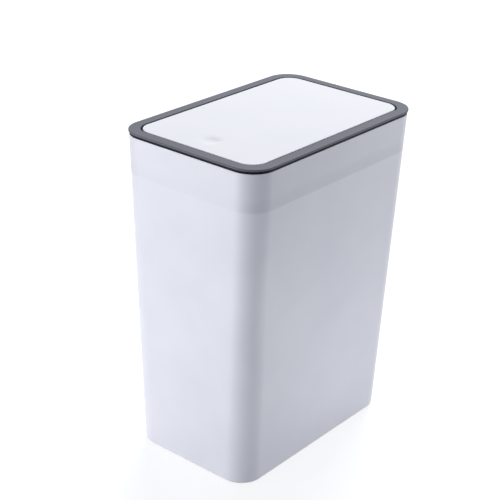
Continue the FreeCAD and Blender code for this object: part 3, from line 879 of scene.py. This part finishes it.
@dataclass(frozen=True)
class PushLatch:
    """Push latch under the front shelf: case, cap, slider, cam wire and spring."""

    lid: Lid = field(default_factory=Lid)
    setback: float = 12.0
    wire_diameter: float = 0.8
    coil_radius: float = 3.2
    turns: int = 4
    low: float = 348.0
    high: float = 357.0
    steps_a_turn: int = 40

    def spring(self) -> Surface:
        """Upright helix: the angle turns from +X towards +Y as Z rises evenly."""
        y = self.setback - self.lid.outline.half_y
        angle = np.linspace(0, 2 * np.pi * self.turns, self.steps_a_turn * self.turns + 1)
        rise = (self.high - self.low) / (2 * np.pi * self.turns)
        sides = np.column_stack([np.cos(angle), np.sin(angle), np.zeros_like(angle)])
        path = self.coil_radius * sides + np.column_stack(
            [np.zeros_like(angle), np.full_like(angle, y), self.low + rise * angle])
        ways = np.column_stack([-self.coil_radius * np.sin(angle), self.coil_radius * np.cos(angle),
                                np.full_like(angle, rise)])
        ways /= np.linalg.norm(ways, axis=1, keepdims=True)
        return wire(path, ways, sides, self.wire_diameter)

    def dress(self, paint: Paint) -> None:
        """Wind the spring and dress the latch's nodes.

        Args:
            paint: the finished materials.
        """
        spring = self.spring().to_object("latch_coil")
        paint.piece(spring, Slot.SPRING, "latch_spring")
        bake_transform(spring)
        for name in ("latch_housing", "latch_cap", "latch_slider"):
            paint.node(name, Slot.LATCH)
        paint.node("latch_cam_wire", Slot.SPRING)
        paint.node("latch_screws", Slot.SCREW)


# Studio


@dataclass(frozen=True)
class Lamp:
    """Soft rectangular lamp, aimed at the bin, with lengths in metres."""

    name: str
    way: tuple[float, float, float]
    distance: float
    width: float
    height: float
    watts: float

    def build(self, target: Vector) -> None:
        """Hang the lamp.

        Args:
            target: the point that it faces.
        """
        light = bpy.data.lights.new(self.name, "AREA")
        light.shape = "RECTANGLE"
        light.size = self.width
        light.size_y = self.height
        light.energy = self.watts
        lamp = bpy.data.objects.new(self.name, light)
        lamp.location = target + Vector(self.way).normalized() * self.distance
        lamp.rotation_euler = (target - lamp.location).to_track_quat("-Z", "Y").to_euler()
        lamp.visible_camera = False
        bpy.context.scene.collection.objects.link(lamp)


@dataclass(frozen=True)
class Studio:
    """Pale floor, soft lamps, white surround and the photograph's camera, with lengths in metres."""

    ambient: float = 0.45
    ambient_colour: str = "#f5f8ff"
    floor_half: float = 9.0
    floor_colour: str = "#a4a5a8"
    floor_glow: float = 0.74
    camera_at: tuple[float, float, float] = (0.8937, -1.1270, 0.8994)
    camera_back: tuple[float, float, float] = (0.57396, -0.70239, 0.42098)
    camera_roll: float = 1.7285  # degrees
    lens: float = 95.47  # millimetres
    target: tuple[float, float, float] = (0.0, 0.0, 0.22)
    lamps: tuple[Lamp, ...] = (
        Lamp("front_left_softbox", (-0.45, -0.89, -0.1), 1.4, 1.2, 0.14, 11.0),
        Lamp("low_front_softbox", (-0.05, -0.5, -0.19), 0.54, 0.35, 0.04, 0.14),
        Lamp("rear_right_softbox", (0.5, 0.86, -0.05), 1.5, 1.0, 0.25, 5.0),
        Lamp("low_right_softbox", (0.4, 0.05, -0.19), 0.45, 0.35, 0.04, 0.28),
        Lamp("overhead_softbox", (-0.3, 0.55, 0.78), 3.4, 1.6, 1.6, 81.0),
    )

    @staticmethod
    def seen(tree: bpy.types.NodeTree) -> bpy.types.NodeSocket:
        """1 for rays from the camera, a glossy surface or a clear one, and 0 for others.

        Args:
            tree: nodes of the world or of the floor.

        Returns:
            The output with that number.
        """
        ray = add_node(tree, "ShaderNodeLightPath", {}).outputs
        first = add_node(tree, "ShaderNodeMath",
                         {0: ray["Is Camera Ray"], 1: ray["Is Glossy Ray"]}, operation="MAXIMUM")
        both = add_node(tree, "ShaderNodeMath",
                        {0: first.outputs[0], 1: ray["Is Transmission Ray"]}, operation="MAXIMUM")
        return both.outputs[0]

    def surround(self) -> None:
        """White for what is seen, and an even dim light for what is lit."""
        world = bpy.data.worlds.new("white_surround")
        world.use_nodes = True
        tree = world.node_tree
        tree.nodes.clear()
        strength = add_node(tree, "ShaderNodeMapRange", {"Value": self.seen(tree), "To Min": self.ambient})
        light = add_node(tree, "ShaderNodeBackground",
                         {"Color": linear(self.ambient_colour), "Strength": strength.outputs["Result"]})
        add_node(tree, "ShaderNodeOutputWorld", {"Surface": light.outputs["Background"]})
        bpy.context.scene.world = world

    def floor(self) -> None:
        """Large flat floor that takes the bin's shadow and looks white around it."""
        grid = np.array([[-1, -1, 0], [1, -1, 0], [1, 1, 0], [-1, 1, 0]]) * self.floor_half / MM
        floor = Surface(grid.astype(float), [[0, 1, 2, 3]]).to_object("studio_floor")
        material, tree = new_material("matt studio paper")
        matt = add_node(tree, "ShaderNodeBsdfDiffuse", {"Color": linear(self.floor_colour)})
        glow = add_node(tree, "ShaderNodeMapRange", {"Value": self.seen(tree), "To Max": self.floor_glow})
        shine = add_node(tree, "ShaderNodeEmission", {"Strength": glow.outputs["Result"]})
        both = add_node(tree, "ShaderNodeAddShader",
                        {0: matt.outputs["BSDF"], 1: shine.outputs["Emission"]})
        add_node(tree, "ShaderNodeOutputMaterial", {"Surface": both.outputs["Shader"]})
        floor.data.materials.append(material)

    def camera(self) -> None:
        """Camera on its own axes: back, and right and up turned by the roll."""
        back = Vector(self.camera_back).normalized()
        level = Vector((-back.y, back.x, 0)).normalized()
        upright = back.cross(level)
        roll = np.radians(self.camera_roll)
        right = level * np.cos(roll) + upright * np.sin(roll)
        up = upright * np.cos(roll) - level * np.sin(roll)
        data = bpy.data.cameras.new("photograph_camera")
        data.lens = self.lens
        camera = bpy.data.objects.new("photograph_camera", data)
        pose = Matrix((right, up, back)).transposed().to_4x4()
        pose.translation = Vector(self.camera_at)
        camera.matrix_world = pose
        bpy.context.scene.collection.objects.link(camera)
        bpy.context.scene.camera = camera

    def build(self) -> None:
        """Set up everything round the bin."""
        bpy.context.scene.view_settings.view_transform = "Standard"
        self.surround()
        self.floor()
        for lamp in self.lamps:
            lamp.build(Vector(self.target))
        self.camera()


def main() -> None:
    """Build the bin's sub-assemblies in order, then the studio."""
    logging.basicConfig(level=logging.INFO)
    paint = Paint()
    for part in (Bucket(), Hinge(), Lid(), PushLatch()):
        part.dress(paint)
        LOG.info("%s done", type(part).__name__)
    Studio().build()


if __name__ == "__main__":
    main()
